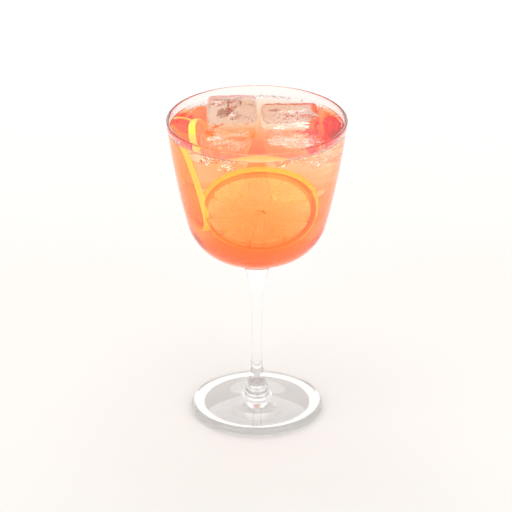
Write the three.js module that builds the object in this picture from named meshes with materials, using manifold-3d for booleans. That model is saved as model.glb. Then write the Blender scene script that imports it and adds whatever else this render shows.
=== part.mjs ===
// A sparkling aperitif cocktail in its stemmed glass: an orange-pink drink with clear ice cubes
// and a citrus wheel that break its surface.
// Millimetres, +Z up. The origin is the centre of the foot, on the surface that the glass stands on,
// and -Y is the side that faces the drinker.
import * as THREE from 'three';
import { mergeVertices } from 'three/addons/utils/BufferGeometryUtils.js';
import Module from 'manifold-3d';

const wasm = await Module();
wasm.setup();

// Glass: overall sizes
const HEIGHT = 167.8;
const RIM_RADIUS = 47;
const WALL = 1.2; // thickness of the bowl's wall
const ROUND_STEPS = 48; // flat sides round the axis

// Glass: the bowl's outline, three arcs that follow each other smoothly from the rim down.
// Each arc ends at a slope, measured from the vertical.
const RIM_SLOPE = 6.3;
const SIDE_ARC = { radius: 413, endSlope: 14.4, steps: 4 };
const SHOULDER_ARC = { radius: 27, endSlope: 64.1, steps: 6 };
const FLOOR_STEPS = 4;
const INNER_SHOULDER_END = 57; // the inside turns into its floor sooner, which leaves thick glass there

// Glass: stem and foot
const STEM_WAIST = { radius: 2.8, height: 34 };
const STEM_TOP_RADIUS = 14.5; // where the stem runs out into the bowl's underside
const STEM_TOP_PULL = [45, 10.1]; // lengths of the curve's two handles
const STEM_BASE = { radius: 8.2, height: 8, slope: 64 };
const STEM_BASE_PULL = [15.4, 7.4];
const STEM_STEPS = 7;
const FOOT_RADIUS = 35;
const FOOT_EDGE = 4.5; // thickness of the foot at its edge
const FOOT_TOP_ROUND = 2.3;
const FOOT_BOTTOM_ROUND = 1.4;
const STANDING_RING = 28; // inner radius of the flat ring that the glass stands on
const FOOT_HOLLOW = 1.2; // height of the shallow hollow inside that ring

// Drink
const LIQUID_LEVEL = 162;
const GAP = 0.3; // between the drink and whatever it touches

// Citrus wheel, standing on edge along the bowl's left side
const WHEEL_RADIUS = 27;
const WHEEL_THICKNESS = 3.8;
const WHEEL_STEPS = 40; // four to a segment
const RIND = 1.5;
const PITH = 2.1;
const CORE = 2.2;
const SEGMENTS = 10;
const FLESH_SINK = 0.35; // how far the flesh lies under the pith
const WHEEL_AT = [-27.4, 1, 136.8];
const WHEEL_LEAN = 14; // its top leans out with the wall
const WHEEL_TURN = 20;

// Ice: four half-melted cubes side by side. foot is the size of a cube's lower end against its
// upper one, tilt is in degrees about X, Y and Z, and seed sets where its dimples are.
const ICE_GRID = 6; // faces along each edge of a block
const ICE_ROUND = 3.2; // rounding of the melted edges
const ICE_DIMPLE = 0.35; // depth of the melted dimples
const ICE_CUBES = [
  {
    name: 'ice_cube_back_left',
    size: [26, 25, 26],
    foot: 1.02,
    at: [-12.9, 19.4, 158.3],
    tilt: [-15, 0, 1],
    seed: 3,
  },
  {
    name: 'ice_cube_back_right',
    size: [31.5, 26, 25],
    foot: 0.78,
    at: [17.2, 18.9, 151.5],
    tilt: [10, 0, 3],
    seed: 11,
  },
  {
    name: 'ice_cube_front_left',
    size: [28, 29, 27],
    foot: 0.62,
    at: [-16.2, -12, 149.1],
    tilt: [1, 0, -1],
    seed: 23,
  },
  {
    name: 'ice_cube_front_right',
    size: [32.5, 26.5, 29],
    foot: 0.8,
    at: [18.9, -11.4, 148],
    tilt: [-1, 0, 3],
    seed: 37,
  },
];

const radians = THREE.MathUtils.degToRad;

// Points along an arc that starts at (r, z) with one slope and turns inwards to another.
function arcDown([r, z], radius, fromSlope, toSlope, steps) {
  const points = [];
  for (let i = 1; i <= steps; i++) {
    const slope = radians(fromSlope + ((toSlope - fromSlope) * i) / steps);
    const start = radians(fromSlope);
    points.push([
      r + radius * (Math.cos(slope) - Math.cos(start)),
      z - radius * (Math.sin(slope) - Math.sin(start)),
    ]);
  }
  return points;
}

// The bowl's outline from the rim's height to the axis, moved inwards by inset, as [r, z] pairs.
function bowlOutline(inset, shoulderEnd) {
  const slope = radians(RIM_SLOPE);
  const start = [
    RIM_RADIUS - inset * Math.cos(slope),
    HEIGHT - (WALL / 2) * (1 - Math.sin(slope)) - inset * Math.sin(slope),
  ];
  const side = arcDown(start, SIDE_ARC.radius - inset, RIM_SLOPE, SIDE_ARC.endSlope, SIDE_ARC.steps);
  const shoulder = arcDown(
    side.at(-1),
    SHOULDER_ARC.radius - inset,
    SIDE_ARC.endSlope,
    shoulderEnd,
    SHOULDER_ARC.steps,
  );
  const [r] = shoulder.at(-1);
  const floorRadius = r / Math.cos(radians(shoulderEnd)); // centred on the axis
  const floor = arcDown(shoulder.at(-1), floorRadius, shoulderEnd, 90, FLOOR_STEPS);
  floor.at(-1)[0] = 0;
  return { start, side, shoulder, floor, floorRadius };
}

const outside = bowlOutline(0, SHOULDER_ARC.endSlope);

function bezier(a, b, c, d) {
  return new THREE.CubicBezierCurve(...[a, b, c, d].map((p) => new THREE.Vector2(...p)))
    .getPoints(STEM_STEPS)
    .map((p) => [p.x, p.y]);
}

// From the foot's top up to the waist, then out into the bowl's underside.
function stemOutline() {
  const { radius, height } = STEM_WAIST;
  const base = [STEM_BASE.radius, STEM_BASE.height];
  const baseSlope = radians(STEM_BASE.slope);
  const lower = bezier(
    base,
    [
      base[0] - STEM_BASE_PULL[1] * Math.cos(baseSlope),
      base[1] + STEM_BASE_PULL[1] * Math.sin(baseSlope),
    ],
    [radius, height - STEM_BASE_PULL[0]],
    [radius, height],
  );
  const lean = Math.asin(STEM_TOP_RADIUS / outside.floorRadius);
  const sphereCentre = outside.floor.at(-1)[1] + outside.floorRadius;
  const top = [STEM_TOP_RADIUS, sphereCentre - outside.floorRadius * Math.cos(lean)];
  const upper = bezier(
    [radius, height],
    [radius, height + STEM_TOP_PULL[0]],
    [
      top[0] - STEM_TOP_PULL[1] * Math.cos(lean),
      top[1] - STEM_TOP_PULL[1] * Math.sin(lean),
    ],
    top,
  );
  return [...lower, ...upper.slice(1)];
}

// A quarter round from one direction to another, as [r, z] pairs. Angles are from +r towards +z.
function corner([r, z], radius, from, to, steps = 3) {
  return Array.from({ length: steps + 1 }, (_, i) => {
    const angle = radians(from + ((to - from) * i) / steps);
    return [r + radius * Math.cos(angle), z + radius * Math.sin(angle)];
  });
}

// The foot from its hollow underside, round its thick edge, to where the stem starts.
function footOutline() {
  const under = [0, 0.5, 0.8].map((share) => [
    STANDING_RING * share,
    FOOT_HOLLOW * (1 - share * share),
  ]);
  const topStart = FOOT_RADIUS - FOOT_TOP_ROUND;
  const rise = [0.35, 0.7].map((share) => [
    topStart + (STEM_BASE.radius - topStart) * share,
    FOOT_EDGE + (STEM_BASE.height - FOOT_EDGE) * share ** 1.4,
  ]);
  return [
    ...under,
    [STANDING_RING, 0],
    ...corner([FOOT_RADIUS - FOOT_BOTTOM_ROUND, FOOT_BOTTOM_ROUND], FOOT_BOTTOM_ROUND, -90, 0),
    ...corner([topStart, FOOT_EDGE - FOOT_TOP_ROUND], FOOT_TOP_ROUND, 12, 90),
    ...rise,
  ];
}

// A closed body of revolution about Z from [r, z] pairs that start and end on the axis.
function turned(outline, steps = ROUND_STEPS) {
  const points = outline.map(([r, z]) => new THREE.Vector2(r, z));
  return new THREE.LatheGeometry(points, steps).rotateX(Math.PI / 2);
}

function glassGeometry() {
  const inside = bowlOutline(WALL, INNER_SHOULDER_END);
  const stemTop = STEM_TOP_RADIUS + 1;
  const underside = [...outside.side, ...outside.shoulder, ...outside.floor]
    .filter(([r]) => r > stemTop)
    .reverse();
  const rimMiddle = [
    (outside.start[0] + inside.start[0]) / 2,
    (outside.start[1] + inside.start[1]) / 2,
  ];
  const rim = corner(rimMiddle, WALL / 2, RIM_SLOPE, 180 + RIM_SLOPE, 6);
  return turned([
    ...footOutline(),
    ...stemOutline(),
    ...underside,
    ...rim,
    ...inside.side,
    ...inside.shoulder,
    ...inside.floor,
  ]);
}

// The drink fills the bowl's inside up to its level.
function drinkGeometry() {
  const { start, side, shoulder, floor } = bowlOutline(WALL + GAP, INNER_SHOULDER_END);
  const radius = SIDE_ARC.radius - WALL - GAP;
  const slope = radians(RIM_SLOPE);
  const levelSlope = Math.asin(Math.sin(slope) + (start[1] - LIQUID_LEVEL) / radius);
  const levelRadius = start[0] + radius * (Math.cos(levelSlope) - Math.cos(slope));
  const wetted = [...side, ...shoulder, ...floor].filter(([, z]) => z < LIQUID_LEVEL - 1);
  return turned([...wetted.reverse(), [levelRadius, LIQUID_LEVEL], [0, LIQUID_LEVEL]]);
}

// A block with rounded, dimpled faces. grow makes it larger all round, for the room that it
// takes in the drink.
function iceGeometry({ size, foot, seed }, grow = 0) {
  const half = size.map((length) => length / 2 + grow);
  const round = ICE_ROUND + grow;
  const inset = half.map((length) => length - round);
  const geometry = new THREE.BoxGeometry(2, 2, 2, ICE_GRID, ICE_GRID, ICE_GRID);
  const position = geometry.getAttribute('position');
  const point = new THREE.Vector3();
  const core = new THREE.Vector3();
  const away = new THREE.Vector3();
  for (let i = 0; i < position.count; i++) {
    point.fromBufferAttribute(position, i);
    // crowd the grid towards the edges, where the rounding needs it
    const onBlock = point.toArray().map((c, axis) => Math.sign(c) * Math.abs(c) ** 0.7 * half[axis]);
    point.set(...onBlock);
    core.set(...onBlock.map((c, axis) => THREE.MathUtils.clamp(c, -inset[axis], inset[axis])));
    away.subVectors(point, core).normalize();
    const wave =
      Math.sin(0.31 * core.x + 0.23 * core.y + seed) +
      Math.sin(0.27 * core.y - 0.34 * core.z + 2 * seed) +
      Math.sin(0.25 * core.z + 0.29 * core.x + 3 * seed);
    point.copy(core).addScaledVector(away, round + (ICE_DIMPLE / 3) * (wave - 1));
    const narrow = THREE.MathUtils.lerp(foot, 1, 0.5 + point.z / size[2]);
    position.setXYZ(i, point.x * narrow, point.y * narrow, point.z);
  }
  return geometry;
}

// A citrus wheel lying flat about Z: rind and pith stand proud, the flesh sinks between its membranes.
function wheelGeometry(grow = 0) {
  const half = WHEEL_THICKNESS / 2 + grow;
  const outer = WHEEL_RADIUS + grow;
  const flesh = WHEEL_RADIUS - RIND - PITH;
  const rings = grow > 0 ? [] : [CORE, CORE + 1, flesh - 1, flesh];
  const side = [0, ...rings].map((r) => [r, half]);
  const edge = corner([outer - 0.9, half - 0.9], 0.9, 90, 0, 2);
  const upper = [...side, ...edge];
  const lower = upper.map(([r, z]) => [r, -z]);
  const geometry = turned([...lower, ...upper.reverse()], WHEEL_STEPS);
  if (grow > 0) return geometry;
  const position = geometry.getAttribute('position');
  for (let i = 0; i < position.count; i++) {
    const [x, y, z] = [position.getX(i), position.getY(i), position.getZ(i)];
    const r = Math.hypot(x, y);
    const inFlesh = r > CORE + 0.5 && r < flesh - 0.5;
    const step = Math.round((Math.atan2(y, x) / (2 * Math.PI)) * WHEEL_STEPS);
    if (inFlesh && step % (WHEEL_STEPS / SEGMENTS) !== 0) {
      position.setZ(i, z - Math.sign(z) * FLESH_SINK);
    }
  }
  return geometry;
}

function placement({ at, tilt }) {
  const turn = new THREE.Euler(...tilt.map(radians), 'XYZ');
  return new THREE.Matrix4().makeRotationFromEuler(turn).setPosition(...at);
}

function wheelPlacement() {
  const turn = new THREE.Matrix4().makeRotationZ(radians(WHEEL_TURN));
  const stand = new THREE.Matrix4().makeRotationY(radians(90 - WHEEL_LEAN));
  return new THREE.Matrix4().setPosition(...WHEEL_AT).multiply(stand).multiply(turn);
}

function solidOf(geometry) {
  geometry.deleteAttribute('normal');
  geometry.deleteAttribute('uv');
  const merged = mergeVertices(geometry, 1e-4);
  return new wasm.Manifold(
    new wasm.Mesh({
      numProp: 3,
      vertProperties: merged.getAttribute('position').array,
      triVerts: new Uint32Array(merged.index.array),
    }),
  );
}

function geometryOf(solid) {
  const { vertProperties, triVerts } = solid.getMesh();
  const geometry = new THREE.BufferGeometry();
  geometry.setAttribute('position', new THREE.BufferAttribute(vertProperties, 3));
  geometry.setIndex(new THREE.BufferAttribute(triVerts, 1));
  geometry.computeVertexNormals();
  return geometry;
}

// The drink leaves room for every piece that stands in it.
function drinkAroundContents() {
  let drink = solidOf(drinkGeometry());
  for (const cube of ICE_CUBES) {
    drink = drink.subtract(solidOf(iceGeometry(cube, GAP).applyMatrix4(placement(cube))));
  }
  return drink.subtract(solidOf(wheelGeometry(GAP).applyMatrix4(wheelPlacement())));
}

function surface(color, roughness, opacity = 1) {
  return new THREE.MeshStandardMaterial({
    color,
    roughness,
    metalness: 0,
    transparent: opacity < 1,
    opacity,
  });
}

const materials = {
  glass: surface(0xf2f6f8, 0.03, 0.3),
  drink: surface(0xff9a63, 0.05, 0.8),
  ice: surface(0xf4e6e2, 0.12, 0.6),
  citrus: surface(0xffc64d, 0.45),
};

function piece(name, geometry, material) {
  const mesh = new THREE.Mesh(geometry, material);
  mesh.name = name;
  return mesh;
}

const cocktail = new THREE.Group();
cocktail.add(piece('glass', glassGeometry(), materials.glass));
cocktail.add(piece('drink', geometryOf(drinkAroundContents()), materials.drink));
for (const cube of ICE_CUBES) {
  const block = piece(cube.name, iceGeometry(cube), materials.ice);
  block.applyMatrix4(placement(cube));
  cocktail.add(block);
}
const wheel = piece('citrus_wheel_left', wheelGeometry(), materials.citrus);
wheel.applyMatrix4(wheelPlacement());
cocktail.add(wheel);

export default cocktail;
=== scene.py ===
# A sparkling aperitif cocktail in its stemmed glass: clear thick-footed glass, an orange-pink drink,
# four half-melted ice cubes, two citrus wheels and the fine bubbles along the drink's edge.
# Sizes are in millimetres and turned into metres by mm, and -Y is the side that faces the camera.
import math
import random

import bpy
from mathutils import Euler, Matrix, Vector


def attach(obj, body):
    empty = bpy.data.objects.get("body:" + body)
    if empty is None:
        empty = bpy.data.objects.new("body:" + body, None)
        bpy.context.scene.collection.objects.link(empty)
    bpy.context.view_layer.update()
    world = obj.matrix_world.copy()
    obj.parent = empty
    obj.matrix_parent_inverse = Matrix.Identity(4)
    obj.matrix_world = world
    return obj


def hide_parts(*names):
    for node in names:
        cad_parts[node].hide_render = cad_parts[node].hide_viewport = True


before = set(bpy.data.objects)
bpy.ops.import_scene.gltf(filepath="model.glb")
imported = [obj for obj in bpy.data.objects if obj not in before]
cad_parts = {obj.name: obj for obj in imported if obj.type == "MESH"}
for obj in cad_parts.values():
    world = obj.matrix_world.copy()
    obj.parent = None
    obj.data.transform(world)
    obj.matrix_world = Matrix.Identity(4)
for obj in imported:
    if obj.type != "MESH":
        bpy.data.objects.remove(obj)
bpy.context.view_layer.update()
scene = bpy.context.scene
mm = 0.001
print("frame loaded")


# Small helpers

def linear(hexColour):
    # sRGB hex to the linear colour that the shader takes
    channels = [int(hexColour[i:i + 2], 16) / 255 for i in (1, 3, 5)]
    return [c / 12.92 if c <= 0.04045 else ((c + 0.055) / 1.055) ** 2.4 for c in channels] + [1]


def inMetres(*lengths):
    return Vector(lengths) * mm


def beginPiece():
    if bpy.context.mode != "OBJECT":
        bpy.ops.object.mode_set(mode="OBJECT")
    bpy.ops.object.select_all(action="DESELECT")


def edit():
    bpy.ops.object.mode_set(mode="EDIT")
    bpy.ops.mesh.select_mode(type="VERT")
    bpy.ops.mesh.select_all(action="SELECT")


def finishEdit():
    bpy.ops.object.mode_set(mode="OBJECT")


def selectFaces(piece, wanted):
    # leaves edit mode for a moment, because a selection made in code only counts there
    bpy.ops.object.mode_set(mode="OBJECT")
    mesh = piece.data
    for vertex in mesh.vertices:
        vertex.select = False
    for edge in mesh.edges:
        edge.select = False
    for face in mesh.polygons:
        face.select = wanted(face)
    bpy.ops.object.mode_set(mode="EDIT")
    bpy.ops.mesh.select_mode(type="FACE")


def applyModifier(piece, kind, **settings):
    bpy.context.view_layer.objects.active = piece
    modifier = piece.modifiers.new(kind.title(), kind)
    for key, value in settings.items():
        setattr(modifier, key, value)
    bpy.ops.object.modifier_apply(modifier=modifier.name)


def pick(*pieces):
    # selects these alone and makes the first of them active
    beginPiece()
    for piece in pieces:
        piece.select_set(True)
    bpy.context.view_layer.objects.active = pieces[0]


def applyPlace(piece):
    pick(piece)
    bpy.ops.object.transform_apply(location=True, rotation=True, scale=True)


def copyPiece(piece, name):
    pick(piece)
    bpy.ops.object.duplicate()
    copied = bpy.context.object
    copied.name = name
    return copied


def joinPieces(pieces, name):
    pick(*pieces)
    bpy.ops.object.join()
    pieces[0].name = name
    return pieces[0]


def smooth(piece, angle=180):
    pick(piece)
    bpy.ops.object.shade_smooth_by_angle(angle=math.radians(angle))


def turnProfile(name, profile, steps):
    # a body of revolution about Z, from (r, z) points in mm that start and end on the axis
    beginPiece()
    bpy.ops.mesh.primitive_plane_add(size=mm)
    piece = bpy.context.object
    piece.name = name
    edit()
    bpy.ops.mesh.merge(type="CENTER")
    bpy.ops.transform.translate(value=inMetres(profile[0][0], 0, profile[0][1]))
    for (r0, z0), (r1, z1) in zip(profile, profile[1:]):
        bpy.ops.mesh.extrude_region_move(TRANSFORM_OT_translate={"value": inMetres(r1 - r0, 0, z1 - z0)})
    bpy.ops.mesh.select_all(action="SELECT")
    bpy.ops.mesh.spin(steps=steps, angle=math.tau, center=(0, 0, 0), axis=(0, 0, 1))
    bpy.ops.mesh.select_all(action="SELECT")
    bpy.ops.mesh.remove_doubles(threshold=0.002 * mm)
    bpy.ops.mesh.normals_make_consistent(inside=False)
    finishEdit()
    return piece


def cloudTexture(name, size, depth=2):
    texture = bpy.data.textures.new(name, "CLOUDS")
    texture.noise_scale = size * mm
    texture.noise_depth = depth
    return texture


def feed(tree, node, links):
    # links gives each input's value, or the output that feeds it
    for key, value in links.items():
        if isinstance(value, bpy.types.NodeSocket):
            tree.links.new(value, node.inputs[key])
        else:
            node.inputs[key].default_value = value


def addNode(tree, kind, links=None, **settings):
    node = tree.nodes.new(kind)
    for key, value in settings.items():
        setattr(node, key, value)
    feed(tree, node, links or {})
    return node


def objectNoise(tree, size, detail):
    # noise fixed to the piece, with lumps of about this size in mm
    place = addNode(tree, "ShaderNodeTexCoord")
    return addNode(tree, "ShaderNodeTexNoise", {
        "Vector": place.outputs["Object"], "Scale": 1 / (size * mm), "Detail": detail})


def relief(tree, height, strength, depth):
    bump = addNode(tree, "ShaderNodeBump", {"Height": height, "Strength": strength, "Distance": depth * mm})
    return bump.outputs["Normal"]


def twoTones(tree, share, first, second, start=0, end=1):
    ramp = addNode(tree, "ShaderNodeValToRGB", {"Fac": share})
    for stop, at, colour in zip(ramp.color_ramp.elements, (start, end), (first, second)):
        stop.position = at
        stop.color = linear(colour)
    return ramp.outputs["Color"]


def newMaterial(name):
    material = bpy.data.materials.new(name)
    material.use_nodes = True
    return material, material.node_tree, material.node_tree.nodes["Principled BSDF"]


def paint(piece, *materials):
    piece.data.materials.clear()
    for material in materials:
        piece.data.materials.append(material)


def dress(piece, body, slot, *materials):
    paint(piece, *materials)
    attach(piece, body)


# Camera, floor and light

camera = {
    "place": (-0.5, -1480, 781.7),
    "lookDown": 25.07,  # degrees under the horizon
    "focal": 3092.9,  # in pixels of the frame
    "frame": 512,
    "sensor": 36,
}
studio = {
    "floorSize": (1200, 2900),  # narrow, so that the glass edges have something darker to bend
    "floorColours": ("#e4e2df", "#e9e7e5"),
    "floorGrain": 9,
    "room": [  # sine of the height above the horizon, brightness
        (0.0, 1.3), (0.45, 1.2), (0.6, 0.75), (1.0, 0.8),
    ],
    "roomSides": 0.5,  # darker far left and right, which draws the edges of the glass
    "roomFade": (0.6, 0.9),  # where it darkens, as the sine of the angle from the middle
    "roomColour": "#fffdfb",
    "lights": {  # place, aimed at, size, power in watts
        "top": ((0, 0, 1500), (0, 0, 0), (1200, 1200), 2.5),
        "back": ((0, 925, 900), (0, 926, 0), (1600, 950), 7),
        "left": ((-560, -650, 380), (0, 0, 125), (900, 650), 2.2),
        "right": ((560, -650, 380), (0, 0, 125), (900, 650), 2.2),
    },
    "bounces": 96,  # light runs round inside the bowl by many inner reflections
}


def addCamera():
    turn = (math.radians(90 - camera["lookDown"]), 0, 0)
    bpy.ops.object.camera_add(location=inMetres(*camera["place"]), rotation=turn)
    view = bpy.context.object
    view.name = "camera"
    view.data.sensor_width = camera["sensor"]
    view.data.lens = camera["focal"] * camera["sensor"] / camera["frame"]
    scene.camera = view


def addStudio():
    beginPiece()
    bpy.ops.mesh.primitive_plane_add(size=mm)
    floor = bpy.context.object
    floor.name = "floor"
    edit()
    bpy.ops.transform.resize(value=(*studio["floorSize"], 1))
    bpy.ops.mesh.subdivide(number_cuts=3)
    finishEdit()
    material, tree, shader = newMaterial("matt painted board")  # plain and pale, without a reflection
    place = addNode(tree, "ShaderNodeTexCoord")
    grain = addNode(tree, "ShaderNodeTexNoise", {
        "Vector": place.outputs["Object"], "Scale": studio["floorGrain"], "Detail": 3})
    feed(tree, shader, {
        "Base Color": twoTones(tree, grain.outputs["Fac"], *studio["floorColours"]),
        "Roughness": 0.7, "Specular IOR Level": 0.2})
    floor.data.materials.append(material)

    world = bpy.data.worlds.new("soft room")
    world.use_nodes = True
    scene.world = world
    tree = world.node_tree
    place = addNode(tree, "ShaderNodeTexCoord")
    height = addNode(tree, "ShaderNodeSeparateXYZ", {"Vector": place.outputs["Generated"]})
    brightest = max(value for _, value in studio["room"])
    ramp = addNode(tree, "ShaderNodeValToRGB", {"Fac": height.outputs["Z"]})
    for at, _ in studio["room"][1:-1]:
        ramp.color_ramp.elements.new(at)
    for stop, (_, value) in zip(ramp.color_ramp.elements, studio["room"]):
        stop.color = [c * value / brightest for c in linear(studio["roomColour"])[:3]] + [1]
    sideways = addNode(tree, "ShaderNodeMath", {0: height.outputs["X"]}, operation="ABSOLUTE")
    shade = addNode(tree, "ShaderNodeMapRange", {
        "Value": sideways.outputs["Value"],
        "From Min": studio["roomFade"][0], "From Max": studio["roomFade"][1],
        "To Min": brightest, "To Max": brightest * studio["roomSides"]})
    feed(tree, tree.nodes["Background"], {
        "Color": ramp.outputs["Color"], "Strength": shade.outputs["Result"]})

    for name, (spot, target, size, power) in studio["lights"].items():
        where = inMetres(*spot)
        turn = (inMetres(*target) - where).to_track_quat("-Z", "Y").to_euler()
        bpy.ops.object.light_add(type="AREA", location=where, rotation=turn)
        bpy.context.object.name = name + " softbox"
        bpy.context.object.visible_camera = False
        light = bpy.context.object.data
        light.shape = "RECTANGLE"
        light.size = size[0] * mm
        light.size_y = size[1] * mm
        light.energy = power
    scene.view_settings.view_transform = "Standard"
    scene.cycles.max_bounces = studio["bounces"]
    scene.cycles.transmission_bounces = studio["bounces"]
    scene.cycles.glossy_bounces = studio["bounces"]
    scene.cycles.transparent_max_bounces = 16
    scene.cycles.blur_glossy = 0.5
    scene.cycles.sample_clamp_indirect = 8


addCamera()
addStudio()
print("camera, floor and light ready")


# Glass

glass = {
    "height": 167.8,
    "rimRadius": 46.999,  # a hair under the CAD's 47, against rounding
    "wall": 1.2,
    "rimSlope": 6.3,  # slopes are degrees from the vertical
    "sideArc": {"radius": 413, "endSlope": 14.4, "points": 16},
    "shoulderArc": {"radius": 27, "endSlope": 64.1, "points": 16},
    "innerShoulderEnd": 57,  # the inside turns into its floor sooner, which leaves thick glass there
    "floorPoints": 12,
    "waist": (2.8, 34),  # radius and height
    "stemTop": 14.5,  # radius where the stem runs out into the bowl
    "stemTopPull": (45, 10.1),
    "stemBase": (8.2, 8),
    "stemBaseSlope": 64,
    "stemBasePull": (15.4, 7.4),
    "stemPoints": 22,
    "footRadius": 35,
    "footEdge": 4.5,
    "footCurve": 1.4,  # over 1, the foot rises more steeply towards the stem
    "footTopRound": 2.3,
    "footBottomRound": 1.4,
    "standingRing": 28,
    "footHollow": 1.2,
    "turns": 144,
    "refraction": 1.52,
    "wetRefraction": 1.134,  # 1.52 against the drink's 1.34
    "wetTop": 163,  # where the meniscus ends on the wall
    "bowlStart": 80,  # a height below the bowl's inside and above the stem's foot
}


def arcDown(start, radius, fromSlope, toSlope, points):
    # (r, z) points along an arc that leaves start at one slope and turns inwards to another
    found = []
    first = math.radians(fromSlope)
    for i in range(1, points + 1):
        slope = math.radians(fromSlope + (toSlope - fromSlope) * i / points)
        found.append((
            start[0] + radius * (math.cos(slope) - math.cos(first)),
            start[1] - radius * (math.sin(slope) - math.sin(first)),
        ))
    return found


def bowlOutline(inset, shoulderEnd):
    # the bowl's outline moved inwards by inset, from the rim to the axis
    slope = math.radians(glass["rimSlope"])
    start = (
        glass["rimRadius"] - inset * math.cos(slope),
        glass["height"] - glass["wall"] / 2 * (1 - math.sin(slope)) - inset * math.sin(slope),
    )
    side, shoulder = glass["sideArc"], glass["shoulderArc"]
    sidePoints = arcDown(start, side["radius"] - inset, glass["rimSlope"], side["endSlope"], side["points"])
    shoulderPoints = arcDown(
        sidePoints[-1], shoulder["radius"] - inset, side["endSlope"], shoulderEnd, shoulder["points"])
    radius = shoulderPoints[-1][0] / math.cos(math.radians(shoulderEnd))
    floorPoints = arcDown(shoulderPoints[-1], radius, shoulderEnd, 90, glass["floorPoints"])
    floorPoints[-1] = (0, floorPoints[-1][1])
    return [start] + sidePoints + shoulderPoints + floorPoints, radius


def bezier(points, count):
    a, b, c, d = (Vector(p) for p in points)
    found = []
    for i in range(count + 1):
        t = i / count
        u = 1 - t
        p = a * u ** 3 + b * 3 * u * u * t + c * 3 * u * t * t + d * t ** 3
        found.append((p.x, p.y))
    return found


def roundCorner(centre, radius, fromAngle, toAngle, count):
    angles = [math.radians(fromAngle + (toAngle - fromAngle) * i / count) for i in range(count + 1)]
    return [(centre[0] + radius * math.cos(a), centre[1] + radius * math.sin(a)) for a in angles]


def stemProfile(bowlRadius, bowlLow):
    waistRadius, waistHeight = glass["waist"]
    base, slope = glass["stemBase"], math.radians(glass["stemBaseSlope"])
    topPull, basePull = glass["stemTopPull"], glass["stemBasePull"]
    lower = bezier([
        base,
        (base[0] - basePull[1] * math.cos(slope), base[1] + basePull[1] * math.sin(slope)),
        (waistRadius, waistHeight - basePull[0]),
        (waistRadius, waistHeight),
    ], glass["stemPoints"])
    lean = math.asin(glass["stemTop"] / bowlRadius)
    top = (glass["stemTop"], bowlLow + bowlRadius * (1 - math.cos(lean)))
    upper = bezier([
        (waistRadius, waistHeight),
        (waistRadius, waistHeight + topPull[0]),
        (top[0] - topPull[1] * math.cos(lean), top[1] - topPull[1] * math.sin(lean)),
        top,
    ], glass["stemPoints"])
    return lower + upper[1:]


def footProfile():
    radius, edge, base = glass["footRadius"], glass["footEdge"], glass["stemBase"]
    ring, hollow = glass["standingRing"], glass["footHollow"]
    under = [(ring * s, hollow * (1 - s * s)) for s in (0, 0.2, 0.4, 0.6, 0.8, 0.9)] + [(ring, 0)]
    topStart = radius - glass["footTopRound"]
    low, high = glass["footBottomRound"], glass["footTopRound"]
    shares = [0.1 * i for i in range(1, 10)]
    rise = [
        (topStart + (base[0] - topStart) * s, edge + (base[1] - edge) * s ** glass["footCurve"])
        for s in shares
    ]
    return (
        under
        + roundCorner((radius - low, low), low, -90, 0, 8)
        + roundCorner((topStart, edge - high), high, 5, 90, 10)
        + rise
    )


def glassProfile():
    outer, bowlRadius = bowlOutline(0, glass["shoulderArc"]["endSlope"])
    inner, _ = bowlOutline(glass["wall"], glass["innerShoulderEnd"])
    underside = [p for p in reversed(outer[1:]) if p[0] > glass["stemTop"] + 0.6]
    middle = ((outer[0][0] + inner[0][0]) / 2, (outer[0][1] + inner[0][1]) / 2)
    slope = glass["rimSlope"]
    rim = roundCorner(middle, glass["wall"] / 2, slope, 180 + slope, 12)
    (r0, z0), (r1, z1) = inner[0], inner[1]
    share = (z0 - glass["wetTop"]) / (z0 - z1)
    waterLine = (r0 + (r1 - r0) * share, glass["wetTop"])
    return footProfile() + stemProfile(bowlRadius, outer[-1][1]) + underside + rim + [waterLine] + inner[1:]


def glassMaterial(name, refraction):
    # soda-lime glass, mould-blown and fire-polished: clear, with a faint waviness in its reflections
    material, tree, shader = newMaterial(name)
    wave, smear = objectNoise(tree, 22, 1), objectNoise(tree, 9, 4)
    haze = addNode(tree, "ShaderNodeMapRange", {
        "Value": smear.outputs["Fac"], "From Min": 0.35, "From Max": 0.75, "To Min": 0.0, "To Max": 0.03})
    feed(tree, shader, {
        "Base Color": linear("#ffffff"), "Transmission Weight": 1, "IOR": refraction,
        "Roughness": haze.outputs["Result"], "Normal": relief(tree, wave.outputs["Fac"], 0.12, 0.4)})
    return material


glassPiece = turnProfile("clear_glass", glassProfile(), glass["turns"])
smooth(glassPiece, 50)
dress(glassPiece, "root", "clear_glass", glassMaterial("soda-lime glass", glass["refraction"]),
      glassMaterial("soda-lime glass under the drink", glass["wetRefraction"]))
for face in glassPiece.data.polygons:
    inward = face.normal.xy.dot(face.center.xy) < 0 or face.normal.z > 0.5
    wet = glass["bowlStart"] * mm < face.center.z < glass["wetTop"] * mm
    face.material_index = 1 if inward and wet else 0
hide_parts("glass")
print("glass ready")


# Ice

drinkLevel = 162  # the ice and the glass need it as well as the drink

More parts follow.
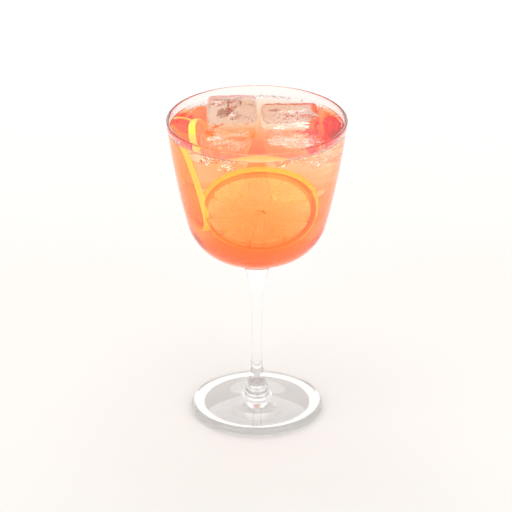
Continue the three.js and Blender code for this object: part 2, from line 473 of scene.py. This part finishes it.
ice = {
    "round": 3.2,
    "voxel": 0.7,
    "cubes": [  # node, size, size of the lower end against the upper, centre, tilt
        ("ice_cube_back_left", (26, 25, 26), 1.02, (-12.9, 19.4, 158.3), (-15, 0, 1)),
        ("ice_cube_back_right", (31.5, 26, 25), 0.78, (17.2, 18.9, 151.5), (10, 0, 3)),
        ("ice_cube_front_left", (28, 29, 27), 0.62, (-16.2, -12, 149.1), (1, 0, -1)),
        ("ice_cube_front_right", (32.5, 26.5, 29), 0.8, (18.9, -11.4, 148), (-1, 0, 3)),
    ],
    "meltDepth": 0.9,
    "meltSize": 9,
    "pitDepth": 0.35,
    "pitSize": 2.2,
    "refraction": 1.31,
    "sunkRefraction": 1.02,  # the drink's 1.34 against the ice's 1.31
    "dry": (160.5, 162.5),  # frost and relief come in between these heights
    "backPaintedShadeTint": "#d3b3a6",  # the two cubes behind stand out of the drink and are frosted; their brownish tint is painted shade that darkens them
    "frontTint": "#fdf8f5",
}


def iceCube(name, size, foot, centre, tilt, melt, pits):
    beginPiece()
    bpy.ops.mesh.primitive_cube_add(size=1, scale=inMetres(*size))
    cube = bpy.context.object
    cube.name = name
    bpy.ops.object.transform_apply(scale=True)
    selectFaces(cube, lambda face: face.normal.z < -0.5)
    bpy.ops.transform.resize(value=(foot, foot, 1), center_override=(0, 0, -size[2] / 2 * mm))
    bpy.ops.mesh.select_all(action="SELECT")
    bpy.ops.mesh.bevel(offset=ice["round"] * mm, segments=4, profile=0.5)
    finishEdit()
    cube.rotation_euler = [math.radians(a) for a in tilt]
    cube.location = inMetres(*centre)
    applyPlace(cube)
    applyModifier(cube, "REMESH", mode="VOXEL", voxel_size=ice["voxel"] * mm)
    applyModifier(cube, "SMOOTH", factor=0.5, iterations=4)
    for texture, depth, middle in ((melt, ice["meltDepth"], 0.75), (pits, ice["pitDepth"], 0.6)):
        applyModifier(cube, "DISPLACE", texture=texture, texture_coords="GLOBAL",
                      strength=depth * mm, mid_level=middle)
    smooth(cube)
    return cube


def iceMaterial(name, refraction, tint):
    # freezer ice, half melted: clear at its edges, with streaks above the drink where air froze into it
    material, tree, shader = newMaterial(name)
    place = addNode(tree, "ShaderNodeTexCoord")
    stretch = addNode(tree, "ShaderNodeMapping", {"Vector": place.outputs["Object"], "Scale": (1, 1, 0.45)})
    streaks = addNode(tree, "ShaderNodeTexNoise", {
        "Vector": stretch.outputs["Vector"], "Scale": 1 / (4 * mm), "Detail": 5, "Distortion": 1.6})
    height = addNode(tree, "ShaderNodeSeparateXYZ", {"Vector": place.outputs["Object"]})
    dry = addNode(tree, "ShaderNodeMapRange", {  # under the drink the wet ice is smooth
        "Value": height.outputs["Z"], "From Min": ice["dry"][0] * mm, "From Max": ice["dry"][1] * mm})
    frost = addNode(tree, "ShaderNodeMapRange", {
        "Value": streaks.outputs["Fac"], "From Min": 0.5, "From Max": 0.62, "To Min": 0.02, "To Max": 0.4})
    dryFrost, dryStreaks = (
        addNode(tree, "ShaderNodeMath", {0: pattern, 1: dry.outputs["Result"]}, operation="MULTIPLY")
        for pattern in (frost.outputs["Result"], streaks.outputs["Fac"]))
    # the tint darkens the ice at every surface it crosses; the back cubes' brownish one is painted shade
    feed(tree, shader, {
        "Base Color": linear(tint), "Transmission Weight": 1, "IOR": refraction,
        "Roughness": dryFrost.outputs["Value"],
        "Normal": relief(tree, dryStreaks.outputs["Value"], 0.5, 0.5)})
    return material


meltTexture = cloudTexture("melt", ice["meltSize"])
pitTexture = cloudTexture("pits", ice["pitSize"])
iceCubes = [iceCube("shaped_" + cube[0], *cube[1:], meltTexture, pitTexture) for cube in ice["cubes"]]
frostedShadedIce = iceMaterial("freezer ice, frosted, with painted shade", ice["refraction"], ice["backPaintedShadeTint"])
wetIce = iceMaterial("freezer ice, wet", ice["refraction"], ice["frontTint"])
sunkIce = iceMaterial("freezer ice under the drink", ice["sunkRefraction"], "#ffffff")
crackedIce = iceMaterial("freezer ice at its cracks", ice["refraction"], "#ffffff")
for cube, values in zip(iceCubes, ice["cubes"]):
    dress(cube, "root", "ice", frostedShadedIce if "back" in values[0] else wetIce, sunkIce, crackedIce)
    for face in cube.data.polygons:
        face.material_index = 1 if face.center.z < drinkLevel * mm else 0
    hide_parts(values[0])
print("ice ready")


# Citrus wheels

wheel = {
    "sides": 144,
    "rind": 1.4,
    "pith": 2.1,
    "core": 1.6,
    "membrane": 0.3,
    "corner": 2.2,  # rounding of a segment's outer corners
    "fleshSink": 0.15,
    "overlap": 0.12,  # the flesh reaches into the pith, so that no slit shows
    "edgeRound": 0.7,
    "voxel": 0.4,
    "sacDepth": 0.12,
    "sacSize": 1.6,
    "sacRun": (11, 0.28),  # how fast the sacs' pattern changes round the wheel and outwards
    "ring": (22.8, 24.6),  # from the skins between the segments to the ring of pith, as radii
    "glandGap": 0.9,
    "fleshPaintedGlow": 0.2,  # painted glow: emission that stands for the light that scatters about in the soft flesh
    "pithPaintedGlow": 0.06,
    "rindPaintedGlow": 0.3,
    # the rind of the wheel seen on edge gets a stronger painted glow
    "sideRindPaintedGlow": 0.55,
    "refraction": 1.015,  # lemon at 1.36 against the drink round it at 1.34
    "left": {
        "radius": 27, "thickness": 3.8,
        "centre": (-27.4, 1, 136.8), "turn": (0, 76, 0), "offCentre": (0.4, -0.5),
        "membranes": (4, 43, 75, 112, 150, 183, 221, 258, 290, 329),  # degrees round the wheel
    },
    "front": {
        "radius": 28.2, "thickness": 4,
        "centre": (2, -23, 130.5), "turn": (113, 0, 0), "offCentre": (-0.9, -1),
        "membranes": (17, 63, 88, 126, 158, 195, 225, 260, 297, 339),
    },
}


def fleshSegment(reach, thickness, fromAngle, toAngle):
    # one juice segment: a flat wedge between two membranes, its outer corners rounded
    beginPiece()
    bpy.ops.mesh.primitive_circle_add(
        vertices=wheel["sides"], radius=reach * mm, fill_type="NGON", location=(0, 0, -thickness / 2 * mm))
    segment = bpy.context.object
    bpy.ops.object.transform_apply(location=True)
    halfMembrane = wheel["membrane"] / 2 * mm
    sides = []
    edit()
    for angle, turn in ((fromAngle, 90), (toAngle, -90)):
        inward = Vector((math.cos(math.radians(angle + turn)), math.sin(math.radians(angle + turn)), 0))
        sides.append(inward)
        bpy.ops.mesh.select_all(action="SELECT")
        bpy.ops.mesh.bisect(plane_co=inward * halfMembrane, plane_no=inward, clear_inner=True)
    along = (sides[0] + sides[1]).normalized()
    bpy.ops.mesh.select_all(action="SELECT")
    bpy.ops.mesh.bisect(plane_co=along * wheel["core"] * mm, plane_no=along, clear_inner=True)
    finishEdit()
    for vertex in segment.data.vertices:
        outer = vertex.co.xy.length > reach / 2 * mm
        onCut = min(abs(vertex.co.dot(side) - halfMembrane) for side in sides) < 1e-7
        vertex.select = outer and onCut
    bpy.ops.object.mode_set(mode="EDIT")
    bpy.ops.mesh.select_mode(type="VERT")
    bpy.ops.mesh.bevel(offset=wheel["corner"] * mm, segments=5, affect="VERTICES")
    bpy.ops.mesh.select_all(action="SELECT")
    bpy.ops.mesh.extrude_region_move(TRANSFORM_OT_translate={"value": inMetres(0, 0, thickness)})
    bpy.ops.mesh.select_all(action="SELECT")
    bpy.ops.mesh.normals_make_consistent(inside=False)
    finishEdit()
    return segment


def citrusWheel(name, materials, radius, thickness, centre, turn, offCentre, membranes):
    reach = radius - wheel["rind"] - wheel["pith"]
    segments = [
        fleshSegment(reach, thickness - 2 * wheel["fleshSink"], start, end)
        for start, end in zip(membranes, membranes[1:] + (membranes[0] + 360,))
    ]
    flesh = joinPieces(segments, name + "_flesh")
    flesh.location = inMetres(*offCentre, 0)
    applyPlace(flesh)
    cutter = copyPiece(flesh, "cutter")
    cutter.scale.z = 1.5  # comes out of both faces of the wheel
    applyPlace(cutter)
    edit()
    bpy.ops.transform.shrink_fatten(value=-wheel["overlap"] * mm)
    finishEdit()

    beginPiece()
    bpy.ops.mesh.primitive_cylinder_add(vertices=wheel["sides"], radius=radius * mm, depth=thickness * mm)
    skin = bpy.context.object
    skin.name = name
    selectFaces(skin, lambda face: abs(face.normal.z) > 0.5)
    bpy.ops.mesh.inset(thickness=wheel["rind"] * mm)
    finishEdit()
    applyModifier(skin, "BEVEL", width=wheel["edgeRound"] * mm, segments=3, limit_method="ANGLE")
    applyModifier(skin, "BOOLEAN", object=cutter, operation="DIFFERENCE", solver="MANIFOLD")
    bpy.data.objects.remove(cutter)
    paint(skin, *materials[:2])
    for face in skin.data.polygons:
        face.material_index = 1 if face.center.xy.length < (radius - wheel["rind"]) * mm else 0

    applyModifier(flesh, "REMESH", mode="VOXEL", voxel_size=wheel["voxel"] * mm)
    applyModifier(flesh, "SMOOTH", factor=0.5, iterations=3)
    applyModifier(flesh, "DISPLACE", texture=sacTexture, texture_coords="LOCAL",
                  strength=wheel["sacDepth"] * mm, mid_level=0.6)
    paint(flesh, materials[2])
    smooth(flesh)
    smooth(skin, 50)
    piece = joinPieces([skin, flesh], name)
    # kept from before the wheel is turned, so that its patterns turn with it
    untilted = piece.data.attributes.new("wheelPlace", "FLOAT_VECTOR", "POINT")
    for vertex, value in zip(piece.data.vertices, untilted.data):
        value.vector = vertex.co / mm
    piece.rotation_euler = [math.radians(a) for a in turn]
    piece.location = inMetres(*centre)
    applyPlace(piece)
    return piece


def wheelPlace(tree):
    return addNode(tree, "ShaderNodeAttribute", attribute_name="wheelPlace").outputs["Vector"]


def fromCentre(tree, place):
    # the way out from the wheel's centre, and how long it is
    way = addNode(tree, "ShaderNodeVectorMath", {0: place, 1: (1, 1, 0)}, operation="MULTIPLY")
    length = addNode(tree, "ShaderNodeVectorMath", {0: way.outputs["Vector"]}, operation="LENGTH")
    return way.outputs["Vector"], length.outputs["Value"]


def alongSacs(tree, way, radius):
    # a place that changes fast round the wheel and slowly outwards, as the juice sacs lie
    across, outward = wheel["sacRun"]
    unit = addNode(tree, "ShaderNodeVectorMath", {0: way}, operation="NORMALIZE")
    fast = addNode(tree, "ShaderNodeVectorMath", {
        0: unit.outputs["Vector"], "Scale": across}, operation="SCALE")
    slow = addNode(tree, "ShaderNodeMath", {0: radius, 1: outward}, operation="MULTIPLY")
    lift = addNode(tree, "ShaderNodeCombineXYZ", {"Z": slow.outputs["Value"]})
    along = addNode(tree, "ShaderNodeVectorMath", {
        0: fast.outputs["Vector"], 1: lift.outputs["Vector"]}, operation="ADD")
    return along.outputs["Vector"]


def softFruit(tree, shader, colour, paintedGlow, clear, scatter, tint, depth):
    # what flesh, pith and rind share: light enters them, scatters and comes out again, and a painted glow
    # by emission is added on top
    feed(tree, shader, {
        "Base Color": colour, "Emission Color": colour, "Emission Strength": paintedGlow,
        "IOR": wheel["refraction"], "Transmission Weight": clear,
        "Subsurface Weight": scatter, "Subsurface Radius": tint, "Subsurface Scale": depth * mm})


def lemonFlesh(name, paintedGlow, pale, deep):
    # lemon flesh cut across: wet and half clear, so that light comes through it, in sacs that run outwards
    material, tree, shader = newMaterial(name)
    along = alongSacs(tree, *fromCentre(tree, wheelPlace(tree)))
    sacs = addNode(tree, "ShaderNodeTexVoronoi", {"Vector": along, "Scale": 1.6, "Randomness": 0.9})
    tone = addNode(tree, "ShaderNodeTexNoise", {"Vector": along, "Scale": 0.5, "Detail": 3})
    mixed = addNode(tree, "ShaderNodeMath", {
        0: sacs.outputs["Distance"], 1: tone.outputs["Fac"]}, operation="MULTIPLY")
    colour = twoTones(tree, mixed.outputs["Value"], pale, deep, 0.05, 0.5)
    haze = addNode(tree, "ShaderNodeMapRange", {
        "Value": tone.outputs["Fac"], "To Min": 0.15, "To Max": 0.3})
    # the flesh also gets a painted glow by emission in its own colour
    softFruit(tree, shader, colour, paintedGlow, 0.96, 1, (1, 0.7, 0.3), 4)
    feed(tree, shader, {
        "Roughness": haze.outputs["Result"], "Normal": relief(tree, sacs.outputs["Distance"], 0.2, 0.15)})
    return material


def lemonPith():
    # the spongy white layer, soaked with the drink: dull, light comes through it a little, and a faint
    # painted glow is added
    material, tree, shader = newMaterial("lemon pith")
    place = wheelPlace(tree)
    _, radius = fromCentre(tree, place)
    fibres = addNode(tree, "ShaderNodeTexNoise", {"Vector": place, "Scale": 1.4, "Detail": 4})
    uneven = addNode(tree, "ShaderNodeMath", {0: fibres.outputs["Fac"], 1: 1.2}, operation="MULTIPLY")
    reach = addNode(tree, "ShaderNodeMath", {0: radius, 1: uneven.outputs["Value"]}, operation="ADD")
    inShadedRing = addNode(tree, "ShaderNodeMapRange", {
        "Value": reach.outputs["Value"], "From Min": wheel["ring"][0], "From Max": wheel["ring"][1]})
    colour = twoTones(tree, inShadedRing.outputs["Result"], "#ffe6ae", "#f6bb7a")  # the thin skins are paler; the ring's darker orange is partly the drink soaked into it and partly painted shade where it blocks the light from behind
    softFruit(tree, shader, colour, wheel["pithPaintedGlow"], 0.93, 1, (1, 0.7, 0.35), 3)
    feed(tree, shader, {"Roughness": 0.5, "Normal": relief(tree, fibres.outputs["Fac"], 0.3, 0.2)})
    return material


def lemonRind(name, paintedGlow):
    # waxy yellow peel with oil glands under a millimetre apart, which dimple it
    material, tree, shader = newMaterial(name)
    glands = addNode(tree, "ShaderNodeTexVoronoi", {
        "Vector": wheelPlace(tree), "Scale": 1 / wheel["glandGap"]})
    colour = twoTones(tree, glands.outputs["Distance"], "#ffd23c", "#ffe070")
    # the rind also gets a painted glow by emission in its own colour
    softFruit(tree, shader, colour, paintedGlow, 0.3, 0.8, (1, 0.7, 0.2), 3)
    feed(tree, shader, {"Roughness": 0.35, "Normal": relief(tree, glands.outputs["Distance"], 0.5, 0.15)})
    return material


sacTexture = cloudTexture("juice sacs", wheel["sacSize"])
pith = lemonPith()
frontRind = lemonRind("lemon rind", wheel["rindPaintedGlow"])
# lit and shaded copies for the wheel seen on edge: its rind has a stronger painted glow, and its flesh has
# deeper colours and a third of the painted glow, as painted shade
sideRind = lemonRind("lemon rind seen on edge, painted brighter", wheel["sideRindPaintedGlow"])
frontFlesh = lemonFlesh("lemon flesh", wheel["fleshPaintedGlow"], "#fff2c0", "#ffdc92")
sideFlesh = lemonFlesh("lemon flesh seen on edge, painted darker", wheel["fleshPaintedGlow"] * 0.3, "#ffe2a4", "#ffca78")
leftWheel = citrusWheel("lemon_wheel_left", (sideRind, pith, sideFlesh), **wheel["left"])
frontWheel = citrusWheel("lemon_wheel_front", (frontRind, pith, frontFlesh), **wheel["front"])
for piece in (leftWheel, frontWheel):
    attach(piece, "root")
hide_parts("citrus_wheel_left")
print("citrus wheels ready")


# Drink

drink = {
    "intoWall": 0.25,  # reaches into the glass, so that no air shows between them
    "meniscusRise": 1.1,
    "meniscusReach": 1.3,
    "wallSlope": 6.7,  # of the glass where the drink ends, in degrees from the vertical
    "intoIce": 0.25,
    "refraction": 1.34,
    # The colour sits in bodies inside the liquid: one that fills it, and three low in the bowl, with a peak
    # in the middle, where the stronger drink has sunk. Each row says how far from the glass, the height
    # there and in the middle, what white light keeps on its way, and how fast it loses the rest.
    "colours": [
        (1.3, 161.95, 161.95, "#ffc200", 28),
        (1.55, 126, 146, "#ffbb00", 11),
        (1.75, 110, 132, "#ffbb00", 11),
        (1.95, 98, 116, "#ffbb00", 11),
    ],
    "colourFromIce": 0.05,
}


def drinkProfile():
    wall, _ = bowlOutline(glass["wall"] - drink["intoWall"], glass["innerShoulderEnd"])
    top = drinkLevel + drink["meniscusRise"]
    wetted = [p for p in reversed(wall) if p[1] < top - 1]
    narrowing = math.tan(math.radians(drink["wallSlope"])) * (glass["height"] - top)
    edge = glass["rimRadius"] - glass["wall"] + drink["intoWall"] - narrowing
    surface = []
    for distance in (0, 0.25, 0.5, 0.8, 1.2, 1.7, 2.3, 3, 4, 6, 10, 20, 30):
        height = drinkLevel + drink["meniscusRise"] * math.exp(-distance / drink["meniscusReach"])
        surface.append((edge - distance, height))
    return wetted + surface + [(0, drinkLevel)]


def cutRound(piece, contents, distance):
    for content in contents:
        cutter = copyPiece(content, "cutter")
        edit()
        bpy.ops.mesh.remove_doubles(threshold=0.002 * mm)
        bpy.ops.transform.shrink_fatten(value=distance * mm)
        finishEdit()
        applyModifier(piece, "BOOLEAN", object=cutter, operation="DIFFERENCE", solver="MANIFOLD")
        bpy.data.objects.remove(cutter)


def colourProfile(fromWall, edge, peak):
    wall, _ = bowlOutline(fromWall, glass["innerShoulderEnd"])
    wetted = [p for p in reversed(wall) if p[1] < edge - 0.5]
    (r0, z0), (r1, z1) = wetted[-1], wall[len(wall) - len(wetted) - 1]
    return wetted + [(r0 + (r1 - r0) * (edge - z0) / (z1 - z0), edge), (0, peak)]


def colourMaterial(name, absorbs, density):
    # bitter-orange aperitif: no surface of its own, only a colour that deepens with its thickness
    material, tree, shader = newMaterial(name)
    swirl = objectNoise(tree, 20, 1)
    feed(tree, shader, {
        "Base Color": twoTones(tree, swirl.outputs["Fac"], "#fff6f0", "#ffffff"),
        "Roughness": 0, "Specular IOR Level": 0, "Transmission Weight": 1, "IOR": 1})
    depth = addNode(tree, "ShaderNodeVolumeAbsorption", {"Color": linear(absorbs), "Density": density})
    feed(tree, tree.nodes["Material Output"], {"Volume": depth.outputs["Volume"]})
    return material


def liquidMaterial(name, refraction, ripples):
    # soda water with a splash of spirit: clear, and its open surface lies almost still
    material, tree, shader = newMaterial(name)
    ripple = objectNoise(tree, 14, 1)
    feed(tree, shader, {
        "Base Color": linear("#ffffff"), "Roughness": 0, "Transmission Weight": 1, "IOR": refraction,
        "Normal": relief(tree, ripple.outputs["Fac"], ripples, 0.4)})
    return material


drinkPiece = turnProfile("aperitif", drinkProfile(), glass["turns"])
cutRound(drinkPiece, iceCubes, -drink["intoIce"])
smooth(drinkPiece, 50)
# it bends light at its open surface only, because the glass and the ice already do so where they touch it
dress(drinkPiece, "root", "drink", liquidMaterial("aperitif with soda", drink["refraction"], 0.1),
      liquidMaterial("aperitif against glass and ice", 1, 0))
for face in drinkPiece.data.polygons:
    isOpen = face.center.z > (drinkLevel - 0.2) * mm and face.normal.z > 0.3  # up to the meniscus
    face.material_index = 0 if isOpen else 1
    face.use_smooth = isOpen
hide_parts("drink")
for number, (fromWall, edge, peak, absorbs, density) in enumerate(drink["colours"], 1):
    body = turnProfile(f"aperitif_colour_{number}", colourProfile(fromWall, edge, peak), 96)
    if number == 1:
        cutRound(body, iceCubes, drink["colourFromIce"])
    for face in body.data.polygons:
        face.use_smooth = False  # smoothed normals would darken what lies behind
    dress(body, "root", "drink", colourMaterial(f"aperitif colour {number}", absorbs, density))
print("drink ready")


# Cracks in the ice: thin crumpled gaps of air, cut into each cube once it has given the drink its room

crack = {
    "gap": 0.14,
    "crumple": 1.1,
    "crumpleSize": 2.4,
    "narrow": (0.35, 0.9),  # width against length
    "ragged": 0.25,
    "seed": 11,
    "highest": 0.42,  # shares of the cube's height, from its middle
    "skin": 1.5,  # keeps the cracks this far inside the cube's sides
    "cubes": [  # how many, radius from and to, how far they lean from level in degrees, lowest share
        (26, 2.2, 5.5, 75, -0.3),
        (22, 2.5, 7.5, 22, -0.3),
        (22, 2.2, 6, 55, 0.12),
        (22, 3, 8, 18, 0.12),
    ],
}


def crackSheet(radius, lean, turn, centre, texture):
    beginPiece()
    bpy.ops.mesh.primitive_circle_add(vertices=8, radius=radius * mm, fill_type="TRIFAN")
    sheet = bpy.context.object
    edit()
    bpy.ops.mesh.subdivide(number_cuts=3)
    bpy.ops.transform.resize(value=(1, chance.uniform(*crack["narrow"]), 1))
    bpy.ops.transform.vertex_random(offset=crack["ragged"] * mm, uniform=1, seed=chance.randrange(1000))
    finishEdit()
    sheet.rotation_euler = (0, lean, turn)
    sheet.location = centre
    applyPlace(sheet)
    applyModifier(sheet, "DISPLACE", texture=texture, texture_coords="GLOBAL",
                  strength=crack["crumple"] * mm, mid_level=0.5)
    applyModifier(sheet, "SOLIDIFY", thickness=crack["gap"] * mm, offset=0)
    return sheet


def dropScraps(piece):
    # two faces on the same corners are a scrap without thickness, which a cut can leave over
    sameCorners = {}
    for face in piece.data.polygons:
        sameCorners.setdefault(frozenset(face.vertices), []).append(face.index)
    scraps = {index for faces in sameCorners.values() if len(faces) > 1 for index in faces}
    if scraps:
        pick(piece)
        selectFaces(piece, lambda face: face.index in scraps)
        bpy.ops.mesh.delete(type="FACE")
        finishEdit()


def crackIce(cube, values, count, small, large, lean, lowest, texture):
    size, foot, centre, tilt = values[1:]
    turn = Euler([math.radians(a) for a in tilt]).to_matrix().to_4x4()
    place = Matrix.Translation(inMetres(*centre)) @ turn
    for _ in range(count):
        radius = chance.uniform(small, large)
        height = chance.uniform(lowest, crack["highest"])
        narrow = foot + (1 - foot) * (height + 0.5)  # the cube is narrower lower down
        room = [max(0.5, length * narrow / 2 - radius * 0.8 - crack["skin"]) for length in size[:2]]
        at = inMetres(*(chance.uniform(-reach, reach) for reach in room), height * size[2])
        tip = math.radians(chance.uniform(-lean, lean))
        sheet = crackSheet(radius, tip, chance.uniform(0, math.pi), place @ at, texture)
        applyModifier(cube, "BOOLEAN", object=sheet, operation="DIFFERENCE", solver="MANIFOLD")
        bpy.data.objects.remove(sheet)
    dropScraps(cube)
    smooth(cube, 50)
    for face in cube.data.polygons:
        if face.material_index == 0 and face.center.z < drinkLevel * mm:
            face.material_index = 2


chance = random.Random(crack["seed"])
crumple = cloudTexture("crumpled cracks", crack["crumpleSize"], 3)
for cube, values, cracks in zip(iceCubes, ice["cubes"], crack["cubes"]):
    crackIce(cube, values, *cracks, crumple)
print("cracks ready")


# Bubbles along the back of the drink's edge and a few in front

bubble = {
    "size": (0.22, 0.5),
    "edge": 45.7,  # distance of the drink's edge from the bowl's axis
    "afloat": 0.2,  # how far a bubble's middle is above the drink, in its radii
    "seed": 5,
    "groups": [  # how many, from and to in degrees round the bowl, distance from its axis
        (150, 66, 112, 42.5, 45),
        (45, 128, 146, 41.5, 44.8),
        (60, -60, 60, 43.2, 45),
        (40, 200, 330, 43.6, 45),
    ],
}


def bubbleRing():
    picker = random.Random(bubble["seed"])
    beginPiece()
    bpy.ops.mesh.primitive_uv_sphere_add(segments=10, ring_count=6, radius=mm)
    first = bpy.context.object
    made = []
    for count, fromAngle, toAngle, near, far in bubble["groups"]:
        for _ in range(count):
            angle = math.radians(picker.uniform(fromAngle, toAngle))
            distance = picker.triangular(near, far, far)
            size = picker.triangular(*bubble["size"], bubble["size"][0])
            rise = drink["meniscusRise"] * math.exp((distance - bubble["edge"]) / drink["meniscusReach"])
            copied = copyPiece(first, "bubble")
            copied.scale = (size, size, size)
            height = drinkLevel + rise + size * bubble["afloat"]
            copied.location = inMetres(distance * math.cos(angle), distance * math.sin(angle), height)
            made.append(copied)
    bpy.data.objects.remove(first)
    ring = joinPieces(made, "bubbles")
    applyPlace(ring)
    smooth(ring)
    return ring


def bubbleMaterial():
    # a film of drink round a ball of gas: bright and half clear
    material, tree, shader = newMaterial("bubble film")
    film = objectNoise(tree, 1, 2)
    feed(tree, shader, {
        "Base Color": twoTones(tree, film.outputs["Fac"], "#fff1ea", "#ffffff"),
        "Roughness": 0.15, "IOR": drink["refraction"], "Transmission Weight": 0.2})
    return material


bubbles = bubbleRing()
dress(bubbles, "root", "drink", bubbleMaterial())
print("bubbles ready")
